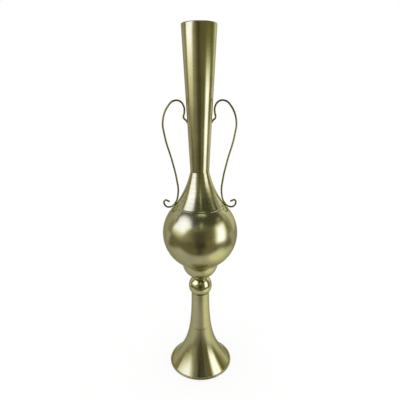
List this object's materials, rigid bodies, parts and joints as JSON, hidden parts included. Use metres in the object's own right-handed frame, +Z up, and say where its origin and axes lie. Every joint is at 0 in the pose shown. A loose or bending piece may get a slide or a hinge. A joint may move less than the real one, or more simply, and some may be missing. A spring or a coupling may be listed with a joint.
{
  "type": "floor vase",
  "caption": "Tall urn-shaped floor vase in satin brass: trumpet foot, slim stem, ball, globe belly, long flaring neck and a bent-wire scroll handle on each side.",
  "frame": {"origin": "on the floor at the middle of the foot ring", "axes": "+Z up the axis of the vase, towards the mouth; the handles lie on the X axis, left at -X and right at +X; -Y is the side the picture looks from"},
  "size_m": [0.26, 0.26, 1.2],
  "materials": {
    "satin_brass": "satin, fine turning lines",
    "polished_brass": "polished",
    "wire_brass": "satin",
    "plain_steel": "plain zinc",
    "plate_steel": "mill scale"
  },
  "bodies": {
    "root": {"neck_tube": "satin_brass", "shoulder_funnel": "satin_brass", "belly_bowl": "satin_brass", "stem_cup": "satin_brass", "knop_ball": "polished_brass", "foot_stem": "satin_brass", "foot_flare": "satin_brass", "foot_ring": "satin_brass", "right_handle": "wire_brass", "left_handle": "wire_brass", "tie_rod": "plain_steel", "belly_washer": "plain_steel", "belly_nut": "plain_steel", "weight_plate": "plate_steel", "plate_washer": "plain_steel", "plate_nut": "plain_steel"}
  },
  "joints": []
}
